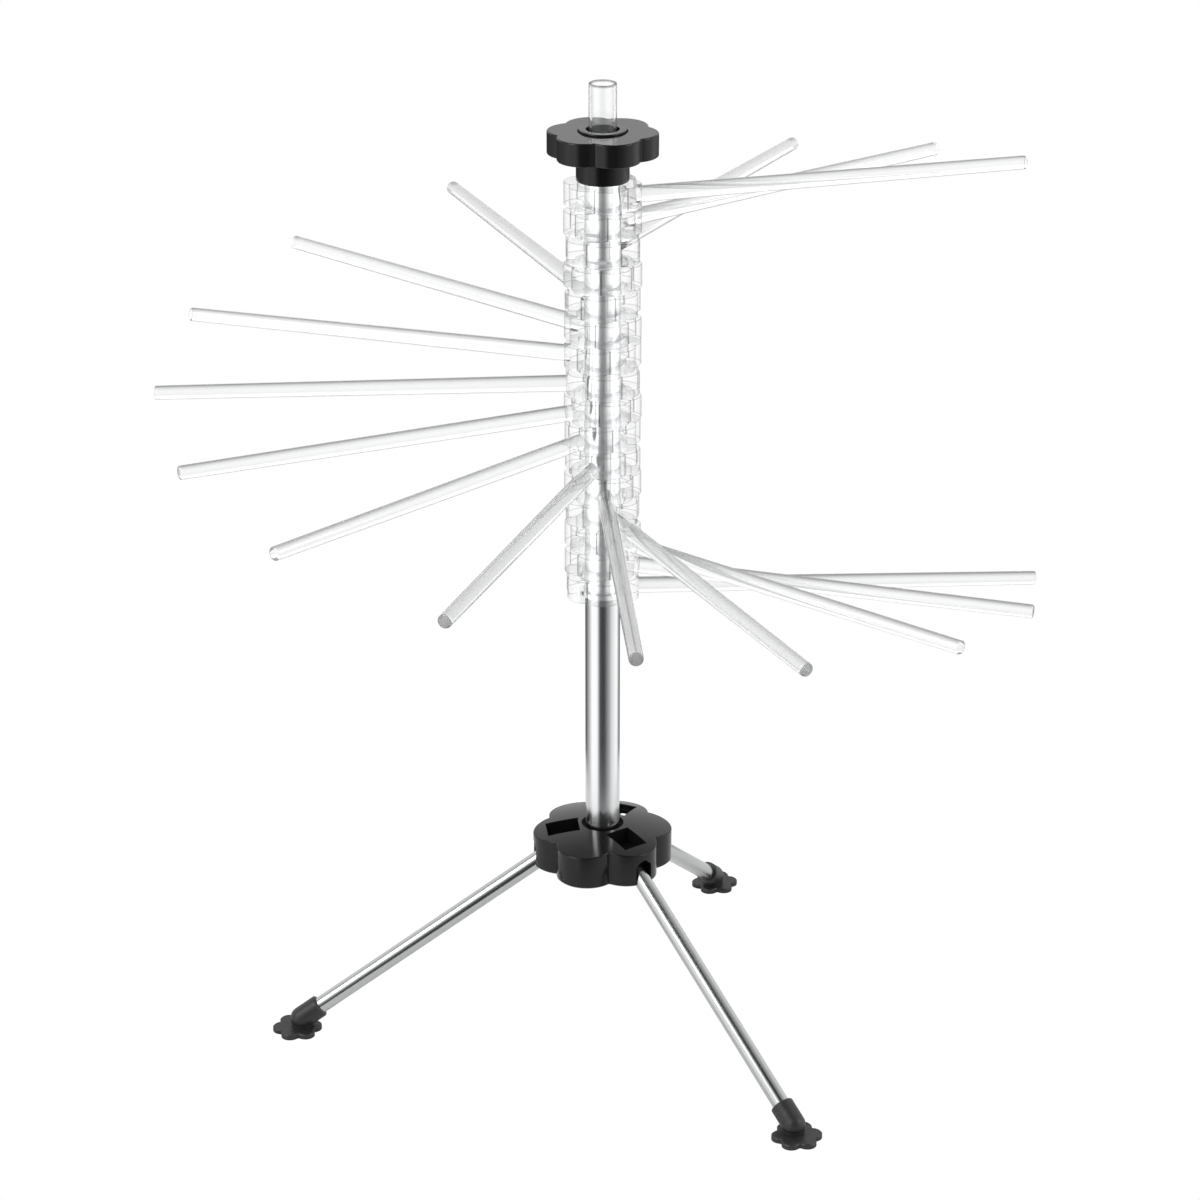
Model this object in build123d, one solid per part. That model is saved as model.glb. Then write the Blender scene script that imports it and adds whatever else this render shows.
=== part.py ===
from build123d import *
import math
import os

# A pasta drying rack: a steel column on three folding legs carries a stack of
# sixteen clear rings, each with one long rod. The knob turns the top ring and
# every ring drags the next one round, so the rods open like a fan.
# Lengths are millimetres, angles are degrees, +Z is up. The origin is on the
# worktop, under the column.

# Column and the clearances that every fit shares
column_radius = 8.0
column_wall = 1.0
running_gap = 0.05
side_gap = 0.3
cut_overrun = 1.0

# Fan of arms
arm_count = 16
arm_reach = 200.0
arm_root_radius = 3.75
arm_tip_radius = 3.1
arm_tip_edge = 0.5
arm_inner_end = 12.6
arm_lift = 3.85
# Directions of the open arms, seen from above, from the top ring down
arm_directions = [16.3, 38.2, 62.4, 87.0, 111.7, 137.8, 162.4, 184.1,
                  204.6, 227.0, 251.3, 273.9, 294.7, 319.5, 342.4, 2.7]
stack_base_z = 218.4

# Ring at the root of each arm
ring_lobes = 6
ring_lobe_centre = 9.0
ring_lobe_radius = 8.5
ring_height = 10.6
ring_edge = 0.5
spacer_radius = 10.9
spacer_height = 1.71

# Drag lug on top of each ring, and the curved pocket under the next one up
lug_inner_radius = 9.05
lug_outer_radius = 10.45
lug_height = 1.4
lug_arc = 30.0
lug_direction = 180.0
lug_gap = 0.15
drag_play = 27.0
pocket_depth = 1.7

# Seat pressed on the column, which carries the lowest ring and keys it
seat_radius = 9.5
seat_height = 2.2
seat_key_arc = 28.0

# Knob, its sleeve and the guide in its top
knob_lobes = 6
knob_lobe_centre = 12.6
knob_lobe_radius = 12.2
knob_valley_round = 0.8
knob_height = 10.6
knob_edge = 0.7
knob_direction = -69.15
sleeve_radius = 11.85
sleeve_height = 10.75
sleeve_edge = 0.3
skirt_wall = 0.7
skirt_drop = 0.7
neck_radius = 10.5
chamber_radius = 9.5
chamber_floor = 12.6
groove_width = 0.7
groove_depth = 1.6
guide_flange = 1.2
guide_rim_round = 0.5
guide_hole_radius = 7.5
guide_spigot = 3.4

# Washer and clip that hold the sleeve down on the stack
washer_height = 0.8
clip_radius = 9.2
clip_height = 1.0
clip_groove_depth = 0.4
clip_mouth_arc = 70.0
column_above_clip = 1.7

# Wand that stands in the column
wand_radius = 6.2
wand_wall = 1.2
wand_rim_round = 0.4
wand_floor = 2.0
wand_above_knob = 21.5

# Hub that carries the column and the legs
leg_count = 3
first_leg_direction = -53.2
hub_base_z = 82.0
hub_floor = 3.0
hub_lobes = 6
hub_lobe_centre = 18.5
hub_lobe_radius = 14.3
hub_valley_round = 0.6
hub_edge = 0.6
hub_crown_z = 101.9
hub_dome_radius = 126.0
hub_recess_radius = 9.9
hub_recess_depth = 3.0

# Openings of the hub: a wide window for the knuckle and an arched way out for the leg
window_inner = 11.2
window_width = 12.6
window_edge = 0.35
leg_slot_width = 8.6

# Legs
leg_radius = 4.0
leg_wall = 0.8
leg_slope = 34.3
pivot_reach = 21.5
pivot_z = 90.0
pin_radius = 1.5
pin_hold = 3.0
knuckle_radius = 4.4
knuckle_collar = 5.8
knuckle_spigot = 12.0
heel_height = 3.6
heel_low = 0.6

# Rubber boots: the heel's height and place behind the pad's middle, and the sleeve's run
boot_heel_z = 6.1
boot_heel_back = 2.3
boot_sleeve_run = 9.0
boot_radius = 5.45
boot_mouth_edge = 0.5
boot_lobes = 6
boot_lobe_centre = 7.35
boot_lobe_radius = 4.3
boot_valley_round = 1.0
boot_pad_height = 2.4
boot_pad_edge = 0.5
boot_neck_radius = 5.0
leg_end_inset = 1.0

# Screw under the hub and the plug that it draws down
plug_height = 8.0
plug_seat_depth = 2.0
wand_seat_gap = 0.2
screw_radius = 1.6
screw_hole_gap = 0.4
screw_bite = 5.0
screw_head_radius = 3.6
screw_head_height = 1.5
screw_recess_gap = 0.3
driver_recess_width = 2.4
driver_recess_depth = 0.8

# Levels and radii that follow from the sizes above
column_bore = column_radius - column_wall
running_bore = column_radius + running_gap
ring_pitch = ring_height + spacer_height
stack_top_z = stack_base_z + arm_count * ring_pitch
shoulder_z = stack_top_z + sleeve_height
knob_top_z = shoulder_z + knob_height
neck_top_z = knob_top_z - side_gap
chamber_z = stack_top_z + chamber_floor
clip_z = chamber_z + washer_height
column_top_z = clip_z + clip_height + column_above_clip
column_base_z = hub_base_z + hub_floor
wand_base_z = column_base_z + plug_height - plug_seat_depth
wand_top_z = knob_top_z + wand_above_knob
knuckle_width = window_width - 2 * side_gap
window_outer = pivot_reach + knuckle_radius + side_gap
leg_fall = math.tan(math.radians(leg_slope))
leg_stretch = 1 / math.cos(math.radians(leg_slope))
boot_heel_reach = pivot_reach + (pivot_z - boot_heel_z) / leg_fall
boot_mouth_reach = boot_heel_reach - boot_sleeve_run
boot_reach = boot_heel_reach + boot_heel_back
os.makedirs("parts", exist_ok=True)


def polar(radius, degrees):
    angle = math.radians(degrees)
    return (radius * math.cos(angle), radius * math.sin(angle))


def post(radius, base_z, top_z):
    """A round solid on the column's axis."""
    return Pos(0, 0, base_z) * extrude(Circle(radius), top_z - base_z)


def pipe(outer_radius, inner_radius, base_z, top_z):
    """A round pipe on the column's axis."""
    return Pos(0, 0, base_z) * extrude(Circle(outer_radius) - Circle(inner_radius), top_z - base_z)


def lobed_face(lobes, lobe_centre, lobe_radius):
    """A flower outline of round lobes that meet in sharp valleys, the first lobe on +X."""
    half_step = 180.0 / lobes
    across = lobe_centre * math.sin(math.radians(half_step))
    along = lobe_centre * math.cos(math.radians(half_step))
    valley_radius = along + math.sqrt(lobe_radius**2 - across**2)
    tip_radius = lobe_centre + lobe_radius
    arcs = []
    for lobe in range(lobes):
        middle = 2 * half_step * lobe
        start = polar(valley_radius, middle - half_step)
        end = polar(valley_radius, middle + half_step)
        arcs.append(ThreePointArc(start, polar(tip_radius, middle), end))
    return Face(Wire(arcs))


def soften_valleys(face, valley_round):
    return face.fillet_2d(valley_round, face.vertices())


def sector_face(inner_radius, outer_radius, start, arc):
    """A curved slot outline between two radii, from start degrees over arc degrees."""
    inner_start = polar(inner_radius, start)
    inner_middle = polar(inner_radius, start + arc / 2)
    inner_end = polar(inner_radius, start + arc)
    outer_start = polar(outer_radius, start)
    outer_middle = polar(outer_radius, start + arc / 2)
    outer_end = polar(outer_radius, start + arc)
    sides = [
        ThreePointArc(inner_start, inner_middle, inner_end),
        Line(inner_end, outer_end),
        ThreePointArc(outer_end, outer_middle, outer_start),
        Line(outer_start, inner_start),
    ]
    return Face(Wire(sides))


def sector(inner_radius, outer_radius, start, arc, base_z, height):
    face = sector_face(inner_radius, outer_radius, start, arc)
    return Pos(0, 0, base_z) * extrude(face, height, dir=(0, 0, 1))


def rim_edges(solid, z):
    """Edges of the outer outline at a level."""
    flat = [face for face in solid.faces() if abs(face.center().Z - z) < running_gap]
    widest = max(flat, key=lambda face: face.outer_wire().length)
    return widest.outer_wire().edges()


def gap_degrees(gap, radius):
    return math.degrees(gap / radius)


def make_rod():
    """The tapered rod along +X, bevelled at its free end."""
    rod = Solid.make_cone(arm_root_radius, arm_tip_radius, arm_reach - arm_inner_end)
    rod = chamfer(rod.edges().group_by(Axis.Z)[-1], arm_tip_edge)
    return Pos(arm_inner_end, 0, arm_lift) * Rot(0, 90, 0) * rod


def make_ring():
    """The lobed ring at a rod's root, with its spacer and drag lug, from z 0 up."""
    outline = lobed_face(ring_lobes, ring_lobe_centre, ring_lobe_radius)
    ring = Rot(0, 0, 180.0 / ring_lobes) * extrude(outline, ring_height)
    ring = chamfer(rim_edges(ring, ring_height), ring_edge)
    ring = chamfer(rim_edges(ring, 0), ring_edge)
    ring += post(spacer_radius, ring_height, ring_pitch)
    lug_start = lug_direction - lug_arc / 2
    ring += sector(lug_inner_radius, lug_outer_radius, lug_start, lug_arc, ring_pitch, lug_height)
    return ring


def drag_pocket():
    """The pocket under a ring, in which the lug of the ring below can travel."""
    inner = lug_inner_radius - lug_gap
    outer = lug_outer_radius + lug_gap
    spare = gap_degrees(lug_gap, lug_inner_radius)
    start = lug_direction - lug_arc / 2 - spare
    arc = lug_arc + drag_play + 2 * spare
    return sector(inner, outer, start, arc, -cut_overrun, pocket_depth + cut_overrun)


def seat_shape(clearance, base_z, height):
    """The stack seat's outer shape: a disc with one key, grown by a clearance."""
    grow = gap_degrees(clearance, seat_radius)
    key_start = lug_direction - seat_key_arc / 2 - grow
    key_radius = lug_outer_radius + clearance
    key = sector(column_radius, key_radius, key_start, seat_key_arc + 2 * grow, base_z, height)
    return post(seat_radius + clearance, base_z, base_z + height) + key


def make_arms():
    """The clear arms. Ring and rod are one moulding, kept as two solids that meet at the ring's wall."""
    whole_ring = make_ring()
    rod = make_rod() - whole_ring
    bored_ring = whole_ring - post(running_bore, -cut_overrun, ring_pitch + lug_height + cut_overrun)
    dragged_ring = bored_ring - drag_pocket()
    lowest_ring = bored_ring - seat_shape(running_gap, -cut_overrun, seat_height + cut_overrun)
    arms = {}
    for number, direction in enumerate(arm_directions, start=1):
        level = stack_base_z + (arm_count - number) * ring_pitch
        place = Pos(0, 0, level) * Rot(0, 0, direction)
        ring = lowest_ring if number == arm_count else dragged_ring
        arms[f"arm_ring_{number:02d}"] = place * ring
        arms[f"arm_rod_{number:02d}"] = place * rod
    return arms


def make_stack_seat():
    seat = seat_shape(0, 0, seat_height)
    seat -= post(column_radius, -cut_overrun, seat_height + cut_overrun)
    return Pos(0, 0, stack_base_z) * Rot(0, 0, arm_directions[-1]) * seat


def make_knob_sleeve():
    """Sleeve that runs on the column, keyed to the top ring's lug, with a neck for the knob."""
    skirt_z = stack_top_z - skirt_drop
    sleeve = post(sleeve_radius, skirt_z, shoulder_z)
    sleeve = chamfer(sleeve.edges().group_by(Axis.Z)[0], sleeve_edge)
    sleeve += post(neck_radius, shoulder_z, neck_top_z)
    sleeve -= post(sleeve_radius - skirt_wall, skirt_z - cut_overrun, stack_top_z)
    sleeve -= post(running_bore, stack_top_z - cut_overrun, chamber_z + cut_overrun)
    sleeve -= post(chamber_radius, chamber_z, neck_top_z + cut_overrun)
    spare = gap_degrees(running_gap, lug_inner_radius)
    start = lug_direction - lug_arc / 2 - spare
    key = sector(
        lug_inner_radius - lug_gap,
        lug_outer_radius + lug_gap,
        start,
        lug_arc + 2 * spare,
        stack_top_z - cut_overrun,
        pocket_depth + cut_overrun,
    )
    return sleeve - Rot(0, 0, arm_directions[0]) * key


def make_knob():
    """Six-lobed knob pressed on the sleeve's neck, with a shallow groove round the guide."""
    outline = lobed_face(knob_lobes, knob_lobe_centre, knob_lobe_radius)
    knob = extrude(soften_valleys(outline, knob_valley_round), knob_height)
    knob = fillet(rim_edges(knob, knob_height), knob_edge)
    knob = fillet(rim_edges(knob, 0), knob_edge)
    knob = Pos(0, 0, shoulder_z) * Rot(0, 0, knob_direction) * knob
    knob -= post(neck_radius, shoulder_z - cut_overrun, knob_top_z + cut_overrun)
    groove_z = knob_top_z - groove_depth
    return knob - post(neck_radius + groove_width, groove_z, knob_top_z + cut_overrun)


def make_wand_guide():
    """Flanged guide that closes the sleeve's chamber and centres the wand."""
    flange_top = neck_top_z + guide_flange
    guide = post(neck_radius, neck_top_z, flange_top)
    guide = fillet(guide.edges().group_by(Axis.Z)[-1], guide_rim_round)
    guide += post(chamber_radius, neck_top_z - guide_spigot, neck_top_z)
    hole_base = neck_top_z - guide_spigot - cut_overrun
    return guide - post(guide_hole_radius, hole_base, flange_top + cut_overrun)


def make_friction_washer():
    return pipe(clip_radius, running_bore, chamber_z, clip_z)


def make_column_clip():
    """Open clip that snaps into the column's groove."""
    clip = pipe(clip_radius, column_radius - clip_groove_depth, clip_z, clip_z + clip_height)
    mouth = sector(
        column_bore, clip_radius + cut_overrun, -clip_mouth_arc / 2, clip_mouth_arc,
        clip_z - cut_overrun, clip_height + 2 * cut_overrun,
    )
    return clip - mouth


def make_column_tube():
    tube = pipe(column_radius, column_bore, column_base_z, column_top_z)
    groove_floor = column_radius - clip_groove_depth
    return tube - pipe(column_radius + cut_overrun, groove_floor, clip_z, clip_z + clip_height)


def make_column_plug():
    """Plug in the column's foot: the wand stands in its top and a screw bites from below."""
    top_z = column_base_z + plug_height
    plug = post(column_bore, column_base_z, top_z)
    plug -= post(wand_radius + wand_seat_gap, wand_base_z, top_z + cut_overrun)
    return plug - post(screw_radius, column_base_z - cut_overrun, column_base_z + screw_bite)


def make_hub_screw():
    head_top = hub_base_z + screw_head_height
    screw = post(screw_head_radius, hub_base_z, head_top)
    screw += post(screw_radius, head_top, column_base_z + screw_bite)
    slot = Box(driver_recess_width, driver_recess_width, 2 * driver_recess_depth)
    return screw - Pos(0, 0, hub_base_z) * slot


def make_wand():
    """Clear hollow wand with a closed foot and a rounded rim."""
    wand = post(wand_radius, wand_base_z, wand_top_z)
    wand -= post(wand_radius - wand_wall, wand_base_z + wand_floor, wand_top_z + cut_overrun)
    return fillet(wand.edges().group_by(Axis.Z)[-1], wand_rim_round)


def hub_body():
    """Lobed prism under a shallow dome."""
    outline = lobed_face(hub_lobes, hub_lobe_centre, hub_lobe_radius)
    outline = soften_valleys(outline, hub_valley_round)
    prism = Pos(0, 0, hub_base_z) * extrude(outline, hub_crown_z - hub_base_z)
    dome = Pos(0, 0, hub_crown_z - hub_dome_radius) * Sphere(hub_dome_radius)
    body = prism & dome
    body = chamfer(rim_edges(body, hub_base_z), hub_edge)
    crown = max(body.faces(), key=lambda face: face.center().Z)
    return fillet(crown.outer_wire().edges(), hub_edge)


def leg_cut():
    """What one leg needs out of the hub, for a leg along +X."""
    low_z = hub_base_z - cut_overrun
    high_z = hub_crown_z + cut_overrun
    middle = (window_inner + window_outer) / 2
    pocket = Pos(middle, 0, (low_z + high_z) / 2) * Box(
        window_outer - window_inner, window_width, high_z - low_z
    )
    run = hub_lobe_centre + hub_lobe_radius + cut_overrun - middle
    slot = Pos(middle + run / 2, 0, (low_z + pivot_z) / 2) * Box(run, leg_slot_width, pivot_z - low_z)
    arch = Pos(middle, 0, pivot_z) * Rot(0, 90, 0) * extrude(Circle(leg_slot_width / 2), run)
    pin_span = window_width + 2 * pin_hold
    groove = Pos(pivot_reach, 0, (low_z + pivot_z) / 2) * Box(2 * pin_radius, pin_span, pivot_z - low_z)
    bearing = Pos(pivot_reach, -pin_span / 2, pivot_z) * Rot(-90, 0, 0) * extrude(
        Circle(pin_radius), pin_span
    )
    return pocket + slot + arch + groove + bearing


def window_rims(hub):
    """Upper edges of the windows and of the recess round the column, on the dome."""
    dome = max(hub.faces().filter_by(GeomType.SPHERE), key=lambda face: face.area)
    return ShapeList(edge for wire in dome.inner_wires() for edge in wire.edges())


def leg_directions():
    return [first_leg_direction + leg * 360.0 / leg_count for leg in range(leg_count)]


def make_leg_hub():
    hub = Rot(0, 0, first_leg_direction) * hub_body()
    for direction in leg_directions():
        hub -= Rot(0, 0, direction) * leg_cut()
    hub -= post(column_radius, column_base_z, hub_crown_z + cut_overrun)
    hub -= post(hub_recess_radius, hub_crown_z - hub_recess_depth, hub_crown_z + cut_overrun)
    hub = chamfer(window_rims(hub), window_edge)
    hub -= post(screw_radius + screw_hole_gap, hub_base_z - cut_overrun, column_base_z + cut_overrun)
    recess_radius = screw_head_radius + screw_recess_gap
    return hub - post(recess_radius, hub_base_z - cut_overrun, hub_base_z + screw_head_height)


def along_leg(solid):
    """Carry a solid made along +Z from the pivot to the open leg's slope, leg along +X."""
    return Pos(pivot_reach, 0, pivot_z) * Rot(0, 90 + leg_slope, 0) * solid


def make_leg_pin():
    length = window_width + 2 * pin_hold
    return Pos(pivot_reach, -length / 2, pivot_z) * Rot(-90, 0, 0) * extrude(Circle(pin_radius), length)


def make_leg_knuckle():
    """Knuckle on the pin, with a spigot in the leg and a heel against the hub's wall."""
    half_width = knuckle_width / 2
    barrel = Pos(pivot_reach, half_width, pivot_z) * Rot(90, 0, 0) * extrude(
        Circle(knuckle_radius), knuckle_width
    )
    collar = along_leg(extrude(Circle(leg_radius), knuckle_collar))
    spigot = along_leg(extrude(Circle(leg_radius - leg_wall), knuckle_collar + knuckle_spigot))
    heel_length = pivot_reach - window_inner
    heel = Pos(pivot_reach - heel_length / 2, 0, pivot_z + (heel_low + heel_height) / 2) * Box(
        heel_length, knuckle_width, heel_height - heel_low
    )
    bore = Pos(pivot_reach, -knuckle_width, pivot_z) * Rot(-90, 0, 0) * extrude(
        Circle(pin_radius + running_gap), 2 * knuckle_width
    )
    return barrel + collar + spigot + heel - bore


def leg_end():
    """Distance from the pivot to the leg's lower end."""
    return (boot_heel_reach - pivot_reach) * leg_stretch - leg_end_inset


def make_leg_tube():
    length = leg_end() - knuckle_collar
    tube = extrude(Circle(leg_radius) - Circle(leg_radius - leg_wall), length)
    return along_leg(Pos(0, 0, knuckle_collar) * tube)


def make_boot():
    """Boot pushed on the leg's end: a sleeve with a round heel on a lobed pad."""
    mouth = (boot_mouth_reach - pivot_reach) * leg_stretch
    heel = (boot_heel_reach - pivot_reach) * leg_stretch
    sleeve = extrude(Circle(boot_radius), heel - mouth)
    sleeve = chamfer(sleeve.edges().group_by(Axis.Z)[0], boot_mouth_edge)
    sleeve = along_leg(Pos(0, 0, mouth) * sleeve)
    ball = Pos(boot_heel_reach, 0, boot_heel_z) * Sphere(boot_radius)
    neck = Pos(boot_heel_reach, 0, 0) * extrude(Circle(boot_neck_radius), boot_heel_z)
    outline = lobed_face(boot_lobes, boot_lobe_centre, boot_lobe_radius)
    pad = extrude(soften_valleys(outline, boot_valley_round), boot_pad_height)
    pad = chamfer(rim_edges(pad, boot_pad_height), boot_pad_edge)
    boot = sleeve + ball + neck + Pos(boot_reach, 0, 0) * pad
    block_side = 2 * boot_mouth_reach
    above_floor = Pos(boot_reach, 0, block_side / 2) * Box(block_side, block_side, block_side)
    bore = along_leg(extrude(Circle(leg_radius), leg_end()))
    return (boot & above_floor) - bore


def make_legs():
    """Pins, knuckles, tubes and boots of the three legs."""
    pieces = {}
    templates = {
        "leg_pin": make_leg_pin(),
        "leg_knuckle": make_leg_knuckle(),
        "leg_tube": make_leg_tube(),
        "boot": make_boot(),
    }
    for number, direction in enumerate(leg_directions(), start=1):
        for name, template in templates.items():
            pieces[f"{name}_{number}"] = Rot(0, 0, direction) * template
    return pieces


parts = {
    "leg_hub": make_leg_hub(),
    "hub_screw": make_hub_screw(),
    "column_plug": make_column_plug(),
    "column_tube": make_column_tube(),
    "stack_seat": make_stack_seat(),
    "knob_sleeve": make_knob_sleeve(),
    "knob": make_knob(),
    "friction_washer": make_friction_washer(),
    "column_clip": make_column_clip(),
    "wand_guide": make_wand_guide(),
    "wand": make_wand(),
}
parts.update(make_arms())
parts.update(make_legs())

for name, solid in parts.items():
    export_step(solid, f"parts/{name}.step")
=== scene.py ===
import math
import bpy
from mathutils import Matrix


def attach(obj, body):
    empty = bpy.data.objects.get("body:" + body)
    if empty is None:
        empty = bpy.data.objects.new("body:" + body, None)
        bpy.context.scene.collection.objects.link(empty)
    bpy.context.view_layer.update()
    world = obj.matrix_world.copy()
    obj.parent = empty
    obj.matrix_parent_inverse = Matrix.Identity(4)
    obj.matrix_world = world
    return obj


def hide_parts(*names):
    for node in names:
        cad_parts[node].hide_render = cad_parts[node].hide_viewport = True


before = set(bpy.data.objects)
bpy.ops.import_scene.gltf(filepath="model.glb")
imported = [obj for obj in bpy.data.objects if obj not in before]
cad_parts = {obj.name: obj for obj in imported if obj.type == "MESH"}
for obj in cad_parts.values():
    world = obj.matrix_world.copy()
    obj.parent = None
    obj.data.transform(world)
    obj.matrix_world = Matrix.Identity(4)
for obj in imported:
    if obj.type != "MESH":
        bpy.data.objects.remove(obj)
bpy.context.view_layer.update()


# Leg hub: one black glossy moulding with six lobes and a shallow domed top. Three windows go
# through it for the leg hinges, and its edges are softly rounded as they leave the mould. The
# knuckles in the legs' ends are moulded in the same plastic.
def add(tree, kind, feeds=None, **settings):
    """A node with its settings, and its inputs by name or number: linked from a socket, or set."""
    node = tree.nodes.new(kind)
    for name, value in settings.items():
        setattr(node, name, value)
    for name, value in (feeds or {}).items():
        if isinstance(value, bpy.types.NodeSocket):
            tree.links.new(value, node.inputs[name])
        else:
            node.inputs[name].default_value = value
    return node


def calc(tree, operation, *terms):
    return add(tree, "ShaderNodeMath", dict(enumerate(terms)), operation=operation).outputs[0]


def noise(tree, place, scale, detail, roughness=0.5):
    feeds = {"Vector": place, "Scale": scale, "Detail": detail, "Roughness": roughness}
    return add(tree, "ShaderNodeTexNoise", feeds).outputs["Fac"]


def blend(tree, share, first, second):
    """Two colours mixed; each is three numbers or a socket."""
    first, second = (
        colour if isinstance(colour, bpy.types.NodeSocket) else (*colour, 1) for colour in (first, second)
    )
    return add(tree, "ShaderNodeMix", {"Factor": share, 6: first, 7: second}, data_type="RGBA").outputs[2]


def new_group(name, kind, inputs, outputs):
    """A node group with its named sockets, its input node and its output node."""
    group = bpy.data.node_groups.new(name, kind)
    for label, socket_kind in inputs.items():
        group.interface.new_socket(label, in_out="INPUT", socket_type=socket_kind)
    for label, socket_kind in outputs.items():
        group.interface.new_socket(label, in_out="OUTPUT", socket_type=socket_kind)
    return group, group.nodes.new("NodeGroupInput"), group.nodes.new("NodeGroupOutput")


def moulded_skin_group():
    """The faint unevenness of a moulded skin: its gloss and its height change over the surface."""
    inputs = {"Vector": "NodeSocketVector"}
    inputs.update(dict.fromkeys(("Scale", "Gloss", "Spread"), "NodeSocketFloat"))
    outputs = dict.fromkeys(("Roughness", "Height"), "NodeSocketFloat")
    group, given, result = new_group("moulded skin", "ShaderNodeTree", inputs, outputs)
    place, scale, gloss, spread = (given.outputs[name] for name in inputs)
    waves = noise(group, place, scale, 3.0, roughness=0.6)
    pores = noise(group, place, calc(group, "MULTIPLY", scale, 9.0), 2.0)
    swing = calc(group, "MULTIPLY", calc(group, "SUBTRACT", waves, 0.5), spread)
    group.links.new(calc(group, "ADD", gloss, swing), result.inputs["Roughness"])
    group.links.new(calc(group, "MULTIPLY_ADD", pores, 0.35, waves), result.inputs["Height"])
    return group


moulded_skin = moulded_skin_group()


def skin_of(tree, place, scale, gloss, spread):
    """The outputs of the moulded skin at a place: Roughness and Height."""
    feeds = {"Vector": place, "Scale": scale, "Gloss": gloss, "Spread": spread}
    return add(tree, "ShaderNodeGroup", feeds, node_tree=moulded_skin).outputs


def raise_skin(tree, shader, height, strength, depth):
    bump = add(tree, "ShaderNodeBump", {"Height": height, "Strength": strength, "Distance": depth})
    tree.links.new(bump.outputs["Normal"], shader.inputs["Normal"])


def new_material(name):
    material = bpy.data.materials.new(name)
    material.use_nodes = True
    tree = material.node_tree
    tree.nodes.clear()
    shader = tree.nodes.new("ShaderNodeBsdfPrincipled")
    output = tree.nodes.new("ShaderNodeOutputMaterial")
    tree.links.new(shader.outputs[0], output.inputs["Surface"])
    place = tree.nodes.new("ShaderNodeTexCoord").outputs["Object"]
    return material, tree, shader, place


def set_inputs(node, values):
    for name, value in values.items():
        node.inputs[name].default_value = value


def moulded_material(name, dark, light, gloss, spread, scale, relief):
    """A moulded plastic or rubber: two close colours in slow clouds, uneven gloss, a fine skin."""
    material, tree, shader, place = new_material(name)
    skin = skin_of(tree, place, scale, gloss, spread)
    clouds = noise(tree, place, scale * 0.4, 2.0)
    tree.links.new(blend(tree, clouds, dark, light), shader.inputs["Base Color"])
    tree.links.new(skin["Roughness"], shader.inputs["Roughness"])
    raise_skin(tree, shader, skin["Height"], strength=relief, depth=0.0002)
    return material, shader


def dress(material, *names):
    """Give CAD pieces that stay in sight their finish."""
    for name in names:
        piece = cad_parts[name]
        if not piece.material_slots:
            piece.data.materials.append(material)
        for slot in piece.material_slots:
            slot.link = "OBJECT"
            slot.material = material


black_plastic, black_shader = moulded_material(
    "black_plastic",
    dark=(0.006, 0.006, 0.0065),
    light=(0.011, 0.011, 0.012),
    gloss=0.14,
    spread=0.06,
    scale=90.0,
    relief=0.12,
)
set_inputs(black_shader, {"Specular IOR Level": 0.32})
dress(black_plastic, "leg_hub", "leg_knuckle_1", "leg_knuckle_2", "leg_knuckle_3")


# Legs: three drawn steel tubes, polished bright. Each swings on a steel pin in the hub. The
# polish leaves very fine lines along the tube.
def polished_steel_material(name, dark, light):
    material, tree, shader, place = new_material(name)
    drawn_out = add(tree, "ShaderNodeMapping", {"Vector": place, "Scale": (900.0, 900.0, 12.0)})
    lines = noise(tree, drawn_out.outputs[0], 1.0, 2.0)
    smudges = noise(tree, place, 45.0, 3.0)
    tree.links.new(blend(tree, smudges, dark, light), shader.inputs["Base Color"])
    tree.links.new(calc(tree, "MULTIPLY_ADD", smudges, 0.08, 0.15), shader.inputs["Roughness"])
    raise_skin(tree, shader, lines, strength=0.04, depth=0.0001)
    set_inputs(shader, {"Metallic": 1.0})
    return material


leg_steel = polished_steel_material("leg_steel", dark=(0.50, 0.51, 0.51), light=(0.56, 0.57, 0.57))
dress(leg_steel, *[f"{piece}_{leg}" for piece in ("leg_tube", "leg_pin") for leg in (1, 2, 3)])


# Boots: black rubber sleeves on six-lobed pads, pushed on the ends of the legs. The rubber is
# matter than the plastic and has a fine dusty skin.
black_rubber, _ = moulded_material(
    "black_rubber",
    dark=(0.014, 0.014, 0.015),
    light=(0.026, 0.026, 0.027),
    gloss=0.46,
    spread=0.14,
    scale=260.0,
    relief=0.5,
)
dress(black_rubber, "boot_1", "boot_2", "boot_3")


# Column: a thin polished steel tube that stands in the hub, drawn down on a plug by a screw
# from below. The seat under the stack of rings is pressed on it, and the clip near its top
# holds the knob sleeve down.
polished_steel = polished_steel_material(
    "polished_steel", dark=(0.74, 0.75, 0.76), light=(0.80, 0.81, 0.82)
)
dress(polished_steel, "column_tube", "hub_screw", "column_clip", "stack_seat")


# Hidden running parts: the plug in the column's foot and the washer under the clip are moulded
# in natural nylon.
nylon, nylon_shader = moulded_material(
    "nylon",
    dark=(0.74, 0.72, 0.66),
    light=(0.80, 0.78, 0.73),
    gloss=0.42,
    spread=0.1,
    scale=160.0,
    relief=0.3,
)
set_inputs(nylon_shader, {"Subsurface Weight": 0.1, "Subsurface Scale": 0.002})
dress(nylon, "column_plug", "friction_washer")


# Arms: sixteen clear mouldings, each a six-lobed ring on the column with one long tapered rod
# in one piece. They are glass-clear, with polished edges.
def axes(tree, vector):
    """The three numbers of a vector."""
    return add(tree, "ShaderNodeSeparateXYZ", {0: vector}).outputs


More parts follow.
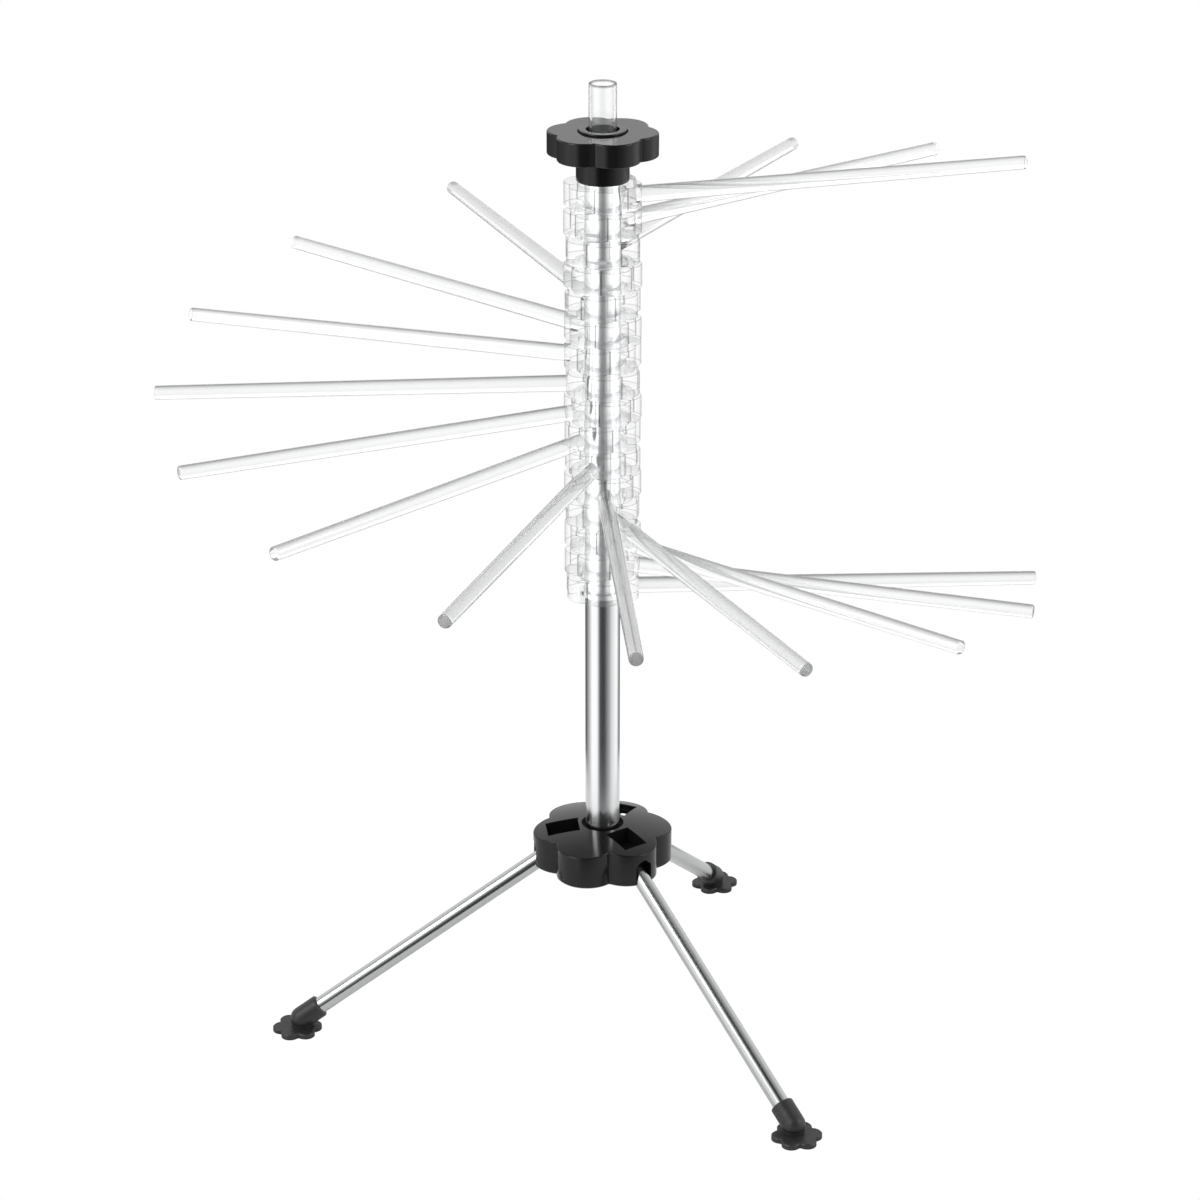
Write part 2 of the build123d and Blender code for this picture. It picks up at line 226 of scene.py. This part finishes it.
def clear_plastic_material(name, tint, edge, top_shade, gloss, clearness, bend):
    """A clear plastic with its own tint, with painted shade: greyer where it is seen edge-on, darker on top,
    and along painted dark lines.
    """
    material, tree, shader, place = new_material(name)
    skin = skin_of(tree, place, scale=70.0, gloss=gloss, spread=0.03)
    tree.links.new(skin["Roughness"], shader.inputs["Roughness"])
    # Painted shade: the plastic is painted grey where it is seen edge-on, in place of the dark room bent
    # through its edges.
    facing = add(tree, "ShaderNodeLayerWeight", {"Blend": 0.5}).outputs["Facing"]
    colour = blend(tree, calc(tree, "POWER", facing, 2.5), tint, (edge, edge, edge))
    # Painted reflection: the top of a rod, which mirrors the dim ceiling, is painted a little darker.
    upward = axes(tree, tree.nodes.new("ShaderNodeNewGeometry").outputs["Normal"])[2]
    painted_top_mask = add(tree, "ShaderNodeMapRange", {"Value": upward, "From Min": 0.45, "From Max": 0.95})
    colour = blend(tree, calc(tree, "MULTIPLY", painted_top_mask.outputs[0], top_shade), colour, (0.25, 0.25, 0.25))
    # Painted shade: thin dark lines stored on the rings stand in for the light bent at their valleys and rims.
    crease = add(tree, "ShaderNodeAttribute", attribute_name="crease").outputs["Fac"]
    colour = blend(tree, crease, colour, (0.02, 0.02, 0.02))
    tree.links.new(colour, shader.inputs["Base Color"])
    set_inputs(
        shader,
        {"Transmission Weight": clearness, "IOR": bend, "Coat Weight": 0.5, "Coat Roughness": 0.05},
    )
    path = tree.nodes.new("ShaderNodeLightPath").outputs
    passing = add(tree, "ShaderNodeBsdfTransparent", {"Color": (0.96, 0.965, 0.965, 1)})
    soft_ray = calc(tree, "MAXIMUM", path["Is Shadow Ray"], path["Is Diffuse Ray"])
    seen = add(tree, "ShaderNodeMixShader", {0: soft_ray, 1: shader.outputs[0], 2: passing.outputs[0]})
    # Light that has wandered long inside the plastic is replaced by a painted pale grey glow.
    wandered = calc(tree, "GREATER_THAN", path["Transmission Depth"], 8.5)
    painted_glow = add(tree, "ShaderNodeEmission", {"Color": (1, 1, 1, 1), "Strength": 0.7})
    whole = add(tree, "ShaderNodeMixShader", {0: wandered, 1: seen.outputs[0], 2: painted_glow.outputs[0]})
    tree.links.new(whole.outputs[0], tree.nodes["Material Output"].inputs["Surface"])
    return material


# Both plastics carry painted shade: grey where seen edge-on, darker rod tops, and dark lines along the rings'
# valleys and rims.
ring_plastic = clear_plastic_material(
    "ring_plastic",
    tint=(0.968, 0.972, 0.972),
    edge=0.45,
    top_shade=0.0,
    gloss=0.05,
    clearness=0.95,
    bend=1.02,
)
rod_plastic = clear_plastic_material(
    "rod_plastic",
    tint=(0.96, 0.965, 0.965),
    edge=0.08,
    top_shade=0.4,
    gloss=0.05,
    clearness=0.82,
    bend=1.2,
)


def mesh_group(name, sizes):
    """A Geometry Nodes group with named sizes going in and one mesh coming out."""
    inputs = dict.fromkeys(sizes, "NodeSocketFloat")
    tree, given, result = new_group(name, "GeometryNodeTree", inputs, {"Mesh": "NodeSocketGeometry"})
    return tree, given.outputs, result.inputs["Mesh"]


def table(tree, position, values):
    """The value of a list at a whole-number position."""
    switch = tree.nodes.new("GeometryNodeIndexSwitch")
    switch.data_type = "FLOAT"
    for _ in range(len(values) - len(switch.index_switch_items)):
        switch.index_switch_items.new()
    tree.links.new(position, switch.inputs["Index"])
    for number, value in enumerate(values):
        switch.inputs[number + 1].default_value = value
    return switch.outputs[0]


def wrapped_grid(tree, around, rows):
    """A grid for a closed turned shape: its mesh, each point's angle, and its row's numbers."""
    grid = add(
        tree,
        "GeometryNodeMeshGrid",
        {"Size X": 1.0, "Size Y": 1.0, "Vertices X": around + 1, "Vertices Y": len(rows)},
    )
    index = tree.nodes.new("GeometryNodeInputIndex").outputs[0]
    column = calc(tree, "FLOOR", calc(tree, "DIVIDE", index, float(len(rows))))
    angle = calc(tree, "MULTIPLY", column, 2 * math.pi / around)
    row = calc(tree, "MODULO", index, float(len(rows)))
    numbers = [table(tree, row, [float(value) for value in values]) for values in zip(*rows)]
    return grid.outputs["Mesh"], angle, numbers


def round_the_axis(tree, radius, angle, level):
    """The place at a radius, an angle and a height about the column's axis."""
    along = calc(tree, "MULTIPLY", radius, calc(tree, "COSINE", angle))
    across = calc(tree, "MULTIPLY", radius, calc(tree, "SINE", angle))
    return add(tree, "ShaderNodeCombineXYZ", {0: along, 1: across, 2: level}).outputs[0]


def moved(tree, mesh, place):
    return add(tree, "GeometryNodeSetPosition", {"Geometry": mesh, "Position": place}).outputs[0]


def welded(tree, mesh):
    return add(tree, "GeometryNodeMergeByDistance", {"Geometry": mesh, "Distance": 0.000001}).outputs[0]


def ring_tree():
    """One lobed ring with its spacer: walls follow the lobes outside and the column inside."""
    names = ("Lobe Centre", "Lobe Radius", "Valley Round", "Bore", "Height", "Edge")
    tree, size, result = mesh_group("lobed ring", names + ("Spacer Radius", "Spacer Height"))
    bore, lobes, spacer = 0, 1, 2
    steps = [math.radians(step) for step in (0, 30, 60, 90)]
    # Each row of the wall: which outline it follows, how many edge widths it stands in, and its
    # height in ring heights, edge widths and spacer heights.
    rows = [(bore, 0, 0, 0, 0)]
    rows += [(lobes, 1 - math.sin(step), 0, 1 - math.cos(step), 0) for step in steps]
    rows += [(lobes, 0, 0, 1.5, 0), (lobes, 0, 1, -1.5, 0)]
    rows += [(lobes, 1 - math.sin(step), 1, math.cos(step) - 1, 0) for step in reversed(steps)]
    rows += [(spacer, 0, 1, 0, 0), (spacer, 0, 1, 0, 1), (bore, 0, 1, 0, 1), (bore, 0, 0, 0, 0)]
    mesh, angle, (follows, inset, heights, edges, spacers) = wrapped_grid(tree, 144, rows)
    sixth = math.pi / 6
    off_lobe = calc(tree, "SUBTRACT", sixth, calc(tree, "PINGPONG", angle, sixth))
    reach = []
    for offset in (off_lobe, calc(tree, "SUBTRACT", 2 * sixth, off_lobe)):
        along = calc(tree, "MULTIPLY", size["Lobe Centre"], calc(tree, "COSINE", offset))
        across = calc(tree, "MULTIPLY", size["Lobe Centre"], calc(tree, "SINE", offset))
        square = calc(tree, "POWER", size["Lobe Radius"], 2.0)
        square = calc(tree, "SUBTRACT", square, calc(tree, "POWER", across, 2.0))
        reach.append(calc(tree, "ADD", along, calc(tree, "SQRT", square)))
    outline = calc(tree, "SMOOTH_MAX", reach[0], reach[1], size["Valley Round"])
    outline = calc(tree, "SUBTRACT", outline, calc(tree, "MULTIPLY", inset, size["Edge"]))
    radius = 0.0
    for code, own_reach in ((lobes, outline), (spacer, size["Spacer Radius"]), (bore, size["Bore"])):
        here = calc(tree, "COMPARE", follows, float(code), 0.5)
        radius = calc(tree, "MULTIPLY_ADD", own_reach, here, radius)
    level = calc(tree, "MULTIPLY", heights, size["Height"])
    level = calc(tree, "MULTIPLY_ADD", edges, size["Edge"], level)
    level = calc(tree, "MULTIPLY_ADD", spacers, size["Spacer Height"], level)
    place = round_the_axis(tree, radius, angle, level)
    tree.links.new(welded(tree, moved(tree, mesh, place)), result)
    return tree


def rod_tree():
    """One tapered rod along +X with a flat, softly rounded tip."""
    names = ("Start", "Reach", "Root Radius", "Tip Radius", "Tip Round", "Lift")
    tree, size, result = mesh_group("tapered rod", names)
    steps = [math.radians(step) for step in (0, 22.5, 45, 67.5, 90)]
    # Each row: its share of the way to the tip, how many roundings it stays short, its share of
    # the root radius and of the tip radius, and how many roundings are taken off that.
    rows = [(0, 0, 0, 0, 0), (0, 0, 1, 0, 0)]
    rows += [(share, 0, 1 - share, share, 0) for share in (0.25, 0.5, 0.75)]
    rows += [(1, 1.5, 0, 1, 0)]
    rows += [(1, 1 - math.sin(step), 0, 1, 1 - math.cos(step)) for step in steps]
    rows += [(1, 0, 0, 0, 0)]
    mesh, angle, (way, short, root, tip, trim) = wrapped_grid(tree, 64, rows)
    run = calc(tree, "SUBTRACT", size["Reach"], size["Start"])
    along = calc(tree, "MULTIPLY_ADD", way, run, size["Start"])
    along = calc(tree, "SUBTRACT", along, calc(tree, "MULTIPLY", short, size["Tip Round"]))
    radius = calc(tree, "MULTIPLY", root, size["Root Radius"])
    radius = calc(tree, "MULTIPLY_ADD", tip, size["Tip Radius"], radius)
    radius = calc(tree, "SUBTRACT", radius, calc(tree, "MULTIPLY", trim, size["Tip Round"]))
    sideways = calc(tree, "MULTIPLY", radius, calc(tree, "COSINE", angle))
    upward = calc(tree, "MULTIPLY_ADD", radius, calc(tree, "SINE", angle), size["Lift"])
    place = add(tree, "ShaderNodeCombineXYZ", {0: along, 1: sideways, 2: upward}).outputs[0]
    tree.links.new(welded(tree, moved(tree, mesh, place)), result)
    return tree


def sector_tree():
    """A curved block between two radii, from a start angle over an arc."""
    tree, size, result = mesh_group("curved block", ("Inner", "Outer", "Start", "Arc", "Base", "Height"))
    block = add(
        tree, "GeometryNodeMeshCube", {"Size": (1, 1, 1), "Vertices X": 14, "Vertices Y": 2, "Vertices Z": 2}
    )
    spot = axes(tree, tree.nodes.new("GeometryNodeInputPosition").outputs[0])
    share = [calc(tree, "ADD", axis, 0.5) for axis in spot]
    angle = calc(tree, "MULTIPLY_ADD", share[0], size["Arc"], size["Start"])
    depth = calc(tree, "SUBTRACT", size["Outer"], size["Inner"])
    radius = calc(tree, "SUBTRACT", size["Outer"], calc(tree, "MULTIPLY", share[1], depth))
    level = calc(tree, "MULTIPLY_ADD", share[2], size["Height"], size["Base"])
    place = round_the_axis(tree, radius, angle, level)
    tree.links.new(moved(tree, block.outputs["Mesh"], place), result)
    return tree


def made_by(tree, group, size, prefix=""):
    """The mesh of a group, fed with the tree's own sizes of the same names."""
    node = add(tree, "GeometryNodeGroup", node_tree=group)
    for socket in node.inputs:
        tree.links.new(size[prefix + socket.name], socket)
    return node.outputs[0]


def boolean(tree, operation, feeds, *meshes):
    node = add(tree, "GeometryNodeMeshBoolean", feeds, operation=operation, solver="EXACT")
    for mesh in meshes:
        tree.links.new(mesh, node.inputs["Mesh 2"])
    return node.outputs["Mesh"]


def painted_line_share(tree, size, spot):
    """How much painted shade a point of a ring gets: thin dark lines are painted along the valleys
    between the lobes and near the moulded edges, where the plastic bends the light."""
    square = calc(tree, "ADD", calc(tree, "POWER", spot[0], 2.0), calc(tree, "POWER", spot[1], 2.0))
    reach = calc(tree, "SQRT", square)
    past_spacer = calc(tree, "GREATER_THAN", reach, calc(tree, "MULTIPLY", size["Spacer Radius"], 1.03))
    ring_reach = calc(tree, "ADD", size["Lobe Centre"], size["Lobe Radius"])
    on_wall = calc(tree, "MULTIPLY", past_spacer, calc(tree, "LESS_THAN", reach, ring_reach))
    off_valley = calc(tree, "PINGPONG", calc(tree, "ARCTAN2", spot[1], spot[0]), math.pi / 6)
    valley = calc(tree, "LESS_THAN", off_valley, math.radians(1))
    middle = calc(tree, "MULTIPLY", size["Edge"], 0.45)
    half_width = calc(tree, "MULTIPLY", size["Edge"], 0.4)
    low_rim = calc(tree, "COMPARE", spot[2], middle, half_width)
    high_rim = calc(tree, "COMPARE", spot[2], calc(tree, "SUBTRACT", size["Height"], middle), half_width)
    rim = calc(tree, "MULTIPLY", calc(tree, "MAXIMUM", low_rim, high_rim), 0.55)
    return calc(tree, "MULTIPLY", calc(tree, "MAXIMUM", valley, rim), on_wall)


def arm_tree(sizes, ring_material, rod_material):
    """One whole arm: ring, rod and drag lug made one, the pocket and the recess under the ring
    cut out, then turned to its direction and lifted to its level."""
    tree, size, result = mesh_group("clear arm", (*sizes, "Direction", "Level"))
    curved_block = sector_tree()
    ring = made_by(tree, ring_tree(), size)
    rod = made_by(tree, rod_tree(), size)
    lug = made_by(tree, curved_block, size, "Lug ")
    pocket = made_by(tree, curved_block, size, "Pocket ")
    recess_depth = calc(tree, "MULTIPLY", size["Recess Height"], 2.0)
    recess = add(
        tree,
        "GeometryNodeMeshCylinder",
        {"Vertices": 72, "Radius": size["Recess Radius"], "Depth": recess_depth},
    )
    whole = boolean(tree, "UNION", None, ring, rod, lug)
    cut = boolean(tree, "DIFFERENCE", {"Mesh 1": whole}, pocket, recess.outputs["Mesh"])
    # Everything past the ring is the rod and has the rod's finish.
    spot = axes(tree, tree.nodes.new("GeometryNodeInputPosition").outputs[0])
    past_ring = calc(tree, "GREATER_THAN", spot[0], calc(tree, "MULTIPLY", size["Lobe Radius"], 2.4))
    sorted_out = add(
        tree,
        "GeometryNodeStoreNamedAttribute",
        {"Geometry": cut, "Name": "on_rod", "Value": past_ring},
        data_type="BOOLEAN",
        domain="FACE",
    )
    # The painted dark lines along the valleys and rims are stored on the mesh for the plastic's material.
    marked = add(
        tree,
        "GeometryNodeStoreNamedAttribute",
        {"Geometry": sorted_out.outputs[0], "Name": "crease", "Value": painted_line_share(tree, size, spot)},
        data_type="FLOAT",
    )
    lift = add(tree, "ShaderNodeCombineXYZ", {2: size["Level"]})
    turn = add(tree, "ShaderNodeCombineXYZ", {2: size["Direction"]})
    placed = add(
        tree,
        "GeometryNodeTransform",
        {"Geometry": marked.outputs[0], "Translation": lift.outputs[0], "Rotation": turn.outputs[0]},
    )
    real = add(tree, "GeometryNodeRealizeInstances", {"Geometry": placed.outputs[0]})
    painted = add(
        tree, "GeometryNodeSetMaterial", {"Geometry": real.outputs[0], "Material": ring_material}
    )
    on_rod = add(tree, "GeometryNodeInputNamedAttribute", {"Name": "on_rod"}, data_type="BOOLEAN")
    painted = add(
        tree,
        "GeometryNodeSetMaterial",
        {
            "Geometry": painted.outputs[0],
            "Selection": on_rod.outputs["Attribute"],
            "Material": rod_material,
        },
    )
    tree.links.new(painted.outputs[0], result)
    return tree


def grown(name, tree, sizes):
    """The plain mesh that a Geometry Nodes tree gives for these sizes, as a piece of its own."""
    holder = bpy.data.objects.new(name, bpy.data.meshes.new(name))
    bpy.context.scene.collection.objects.link(holder)
    maker = holder.modifiers.new("maker", "NODES")
    maker.node_group = tree
    for socket in tree.interface.items_tree:
        if socket.in_out == "INPUT" and socket.name in sizes:
            maker[socket.identifier] = sizes[socket.name]
    shaped = holder.evaluated_get(bpy.context.evaluated_depsgraph_get())
    mesh = bpy.data.meshes.new_from_object(shaped)
    holder.modifiers.remove(maker)
    # The union leaves an empty material slot.
    for slot in reversed(range(len(mesh.materials))):
        if mesh.materials[slot] is None:
            mesh.materials.pop(index=slot)
    mesh.name = name
    holder.data = mesh
    mesh.shade_smooth()
    mesh.set_sharp_from_angle(angle=math.radians(38))
    return holder


arm_directions = [
    16.3, 38.2, 62.4, 87.0, 111.7, 137.8, 162.4, 184.1, 204.6, 227.0, 251.3, 273.9, 294.7, 319.5, 342.4, 2.7
]
arm_sizes = {
    "Lobe Centre": 0.009,
    "Lobe Radius": 0.0085,
    "Valley Round": 0.0009,
    "Bore": 0.00805,
    "Height": 0.0106,
    "Edge": 0.00045,
    "Spacer Radius": 0.0109,
    "Spacer Height": 0.00168,
    "Start": 0.0126,
    "Reach": 0.2,
    "Root Radius": 0.00375,
    "Tip Radius": 0.0031,
    "Tip Round": 0.0008,
    "Lift": 0.00385,
    "Lug Inner": 0.00905,
    "Lug Outer": 0.01045,
    "Lug Start": math.radians(165),
    "Lug Arc": math.radians(30),
    "Lug Base": 0.0117,
    "Lug Height": 0.00201,
    "Pocket Inner": 0.0089,
    "Pocket Outer": 0.0106,
    "Pocket Start": math.radians(164),
    "Pocket Arc": math.radians(59),
    "Pocket Base": -0.001,
    "Pocket Height": 0.0027,
    "Recess Radius": 0.0076,
    "Recess Height": 0.002,
}
# The lowest ring sits on the stack seat: a round recess with one key instead of the pocket.
lowest_sizes = {
    "Pocket Inner": 0.0085,
    "Pocket Outer": 0.0105,
    "Pocket Start": math.radians(165.7),
    "Pocket Arc": math.radians(28.6),
    "Pocket Height": 0.00325,
    "Recess Radius": 0.00955,
    "Recess Height": 0.00225,
}
ring_pitch = 0.01231
stack_base = 0.2184
lowest = len(arm_directions)
clear_arm = arm_tree(arm_sizes, ring_plastic, rod_plastic)
for number, direction in enumerate(arm_directions, start=1):
    level = stack_base + (lowest - number) * ring_pitch
    own_sizes = {**arm_sizes, "Direction": math.radians(direction), "Level": level}
    if number == lowest:
        own_sizes.update(lowest_sizes)
    arm = grown(f"clear_arm_{number:02d}", clear_arm, own_sizes)
    body = {1: "fan_head", lowest: "stand"}.get(number, f"arm_{number:02d}_turning")
    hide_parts(f"arm_ring_{number:02d}", f"arm_rod_{number:02d}")
    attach(arm, body)


# Knob, its sleeve and the guide ring: black glossy mouldings on top of the stack. The knob is
# pressed on the sleeve's neck and the guide lies in its middle round the wand.
dress(black_plastic, "knob_sleeve", "knob", "wand_guide")


# Wand: a clear hollow rod with a rounded rim, dropped into the column through the guide. Its
# rounded mouth bends the light most; that shade is painted on it as a darker band.
def painted_rim_shade(material, low, high):
    """A painted shade band round the mouth of a clear tube, between two heights."""
    tree = material.node_tree
    base_colour = tree.nodes["Principled BSDF"].inputs["Base Color"]
    height = axes(tree, tree.nodes.new("ShaderNodeTexCoord").outputs["Object"])[2]
    share = add(
        tree, "ShaderNodeMapRange", {"Value": height, "From Min": low, "From Max": high, "To Max": 0.75}
    ).outputs[0]
    tree.links.new(blend(tree, share, base_colour.links[0].from_socket, (0.10, 0.10, 0.10)), base_colour)


wand_plastic = clear_plastic_material(
    "wand_plastic",
    tint=(0.95, 0.955, 0.955),
    edge=0.01,
    top_shade=0.0,
    gloss=0.03,
    clearness=0.97,
    bend=1.2,
)
painted_rim_shade(wand_plastic, low=0.4570, high=0.4578)
dress(wand_plastic, "wand")


# Floor: a sheet of white card under the rack, as in a small photo studio. The camera sees it as
# white as the backdrop, with a trace of the shadows, and light through the clear plastic passes it.
def white_card_material():
    material, tree, shader, place = new_material("white_card")
    fibre = noise(tree, place, 600.0, 3.0)
    colour = blend(tree, fibre, (0.90, 0.90, 0.90), (0.93, 0.93, 0.93))
    tree.links.new(colour, shader.inputs["Base Color"])
    set_inputs(shader, {"Roughness": 0.8, "Specular IOR Level": 0.2})
    path = tree.nodes.new("ShaderNodeLightPath").outputs
    glow = add(tree, "ShaderNodeEmission", {"Color": (1, 1, 1, 1), "Strength": 1.04})
    glow_share = calc(tree, "MULTIPLY", path["Is Camera Ray"], 0.93)
    card = add(tree, "ShaderNodeMixShader", {0: glow_share, 1: shader.outputs[0], 2: glow.outputs[0]})
    nothing = tree.nodes.new("ShaderNodeBsdfTransparent")
    whole = add(
        tree,
        "ShaderNodeMixShader",
        {0: path["Is Transmission Ray"], 1: card.outputs[0], 2: nothing.outputs[0]},
    )
    tree.links.new(whole.outputs[0], tree.nodes["Material Output"].inputs["Surface"])
    return material


def round_card(name, radius, centre_y, corners):
    turns = [2 * math.pi * corner / corners for corner in range(corners)]
    points = [(radius * math.cos(turn), centre_y + radius * math.sin(turn), 0) for turn in turns]
    mesh = bpy.data.meshes.new(name)
    mesh.from_pydata(points, [], [list(range(corners))])
    sheet = bpy.data.objects.new(name, mesh)
    bpy.context.scene.collection.objects.link(sheet)
    return sheet


floor = round_card("floor_card", radius=0.26, centre_y=0.04, corners=96)
floor.data.materials.append(white_card_material())


# Backdrop and room: white all round behind the rack, with a dim room in front of the table and
# a dim ceiling, which draw the dark lines in the steel and in the edges of the clear plastic.
def turned_ramp(tree, turn, stops):
    """A brightness that changes round the room. Each stop is a share of the turn, from the back
    round the left, and a level up to 3."""
    ramp = add(tree, "ShaderNodeValToRGB", {0: turn})
    while len(ramp.color_ramp.elements) < len(stops):
        ramp.color_ramp.elements.new(0.5)
    for element, (spot, value) in zip(ramp.color_ramp.elements, stops):
        element.position = spot
        element.color = (value / 3, value / 3, value / 3, 1)
    return calc(tree, "MULTIPLY", ramp.outputs[0], 3.0)


def eased(tree, value, low, high, start, end):
    return add(
        tree,
        "ShaderNodeMapRange",
        {"Value": value, "From Min": low, "From Max": high, "To Min": start, "To Max": end},
        interpolation_type="SMOOTHSTEP",
    ).outputs[0]


room_stops = [
    (0.0, 0.12), (0.10, 0.08), (0.17, 0.3), (0.24, 0.7), (0.29, 1.3), (0.40, 1.25), (0.43, 0.4), (0.455, 0.06),
    (0.54, 0.05), (0.57, 0.2), (0.62, 0.42), (0.68, 0.9), (0.80, 1.3), (0.86, 0.5), (0.92, 0.08), (1.0, 0.12),
]
# What the column mirrors inside the rings.
column_stops = [
    (0.0, 1.0), (0.24, 1.0), (0.29, 1.1), (0.40, 1.1), (0.44, 0.6), (0.475, 0.16), (0.525, 0.12), (0.56, 0.5),
    (0.61, 0.9), (0.70, 1.1), (0.80, 1.0), (1.0, 1.0),
]


def studio_world(straight_through, on_matt_surfaces):
    world = bpy.data.worlds.new("studio")
    world.use_nodes = True
    tree = world.node_tree
    tree.nodes.clear()
    way = axes(tree, tree.nodes.new("ShaderNodeTexCoord").outputs["Generated"])
    path = tree.nodes.new("ShaderNodeLightPath").outputs
    azimuth = calc(tree, "ARCTAN2", way[0], calc(tree, "MULTIPLY", way[1], -1.0))
    turn = calc(tree, "MULTIPLY_ADD", azimuth, 0.5 / math.pi, 0.5)
    room = turned_ramp(tree, turn, room_stops)
    behind = eased(tree, way[1], -0.1, 0.35, 0.0, 1.0)
    above_floor = eased(tree, way[2], -0.22, -0.06, 0.0, 1.0)
    backdrop = calc(tree, "MULTIPLY", behind, above_floor)
    ceiling = eased(tree, way[2], 0.5, 0.9, 1.0, 0.4)
    mirrored = calc(tree, "MULTIPLY", calc(tree, "MAXIMUM", room, backdrop), ceiling)
    # Seen straight through the clear plastic all sides are the same white; the column inside the
    # rings mirrors the dim room in front. Both fade towards the ceiling and the floor.
    column_light = turned_ramp(tree, turn, column_stops)
    mirrored_once = calc(tree, "GREATER_THAN", path["Glossy Depth"], 0.5)
    change = calc(tree, "SUBTRACT", column_light, straight_through)
    through = calc(tree, "MULTIPLY_ADD", change, mirrored_once, straight_through)
    through = calc(tree, "MULTIPLY", through, eased(tree, way[2], 0.1, 0.6, 1.0, 0.3))
    through = calc(tree, "MULTIPLY", through, eased(tree, way[2], -0.8, -0.44, 0.12, 1.0))
    level = calc(tree, "MULTIPLY", mirrored, path["Is Glossy Ray"])
    level = calc(tree, "MULTIPLY_ADD", through, path["Is Transmission Ray"], level)
    sharp_ray = calc(tree, "MAXIMUM", path["Is Glossy Ray"], path["Is Transmission Ray"])
    level = calc(tree, "MULTIPLY_ADD", calc(tree, "SUBTRACT", 1.0, sharp_ray), on_matt_surfaces, level)
    level = calc(tree, "MAXIMUM", level, path["Is Camera Ray"])
    back = add(tree, "ShaderNodeBackground", {"Color": (1, 1, 1, 1), "Strength": level})
    output = tree.nodes.new("ShaderNodeOutputWorld")
    tree.links.new(back.outputs[0], output.inputs[0])
    return world


bpy.context.scene.world = studio_world(straight_through=0.95, on_matt_surfaces=0.62)


# Lamps: one large soft panel high on the left and a weaker one on the right, both aimed at the
# middle of the rack.
def soft_panel(name, place, aim, width, height, watts):
    lamp = bpy.data.lights.new(name, "AREA")
    lamp.shape = "RECTANGLE"
    lamp.size = width
    lamp.size_y = height
    lamp.energy = watts
    holder = bpy.data.objects.new(name, lamp)
    bpy.context.scene.collection.objects.link(holder)
    holder.location = place
    away = [a - b for a, b in zip(place, aim)]
    flat = math.hypot(away[0], away[1])
    holder.rotation_euler = (math.atan2(flat, away[2]), 0, math.atan2(away[0], -away[1]))


rack_middle = (0, 0, 0.25)
soft_panel("left_panel", (-1.3, -0.7, 1.5), rack_middle, width=0.9, height=0.9, watts=14)
soft_panel("right_panel", (1.4, -0.4, 1.1), rack_middle, width=0.6, height=0.9, watts=6)


# Camera: a long lens a little above the rack, as in the photograph. Its place and turn were
# fitted to the arm tips, the rings, the hub and the feet.
lens = bpy.data.cameras.new("photo_camera")
lens.lens = 109.79
lens.sensor_width = 36
lens.clip_start = 0.05
camera = bpy.data.objects.new("photo_camera", lens)
bpy.context.scene.collection.objects.link(camera)
camera.location = (0, -1.55487, 0.85978)
camera.rotation_euler = (math.radians(67.474), 0, math.radians(0.044))
bpy.context.scene.camera = camera

bpy.context.scene.view_settings.view_transform = "Standard"
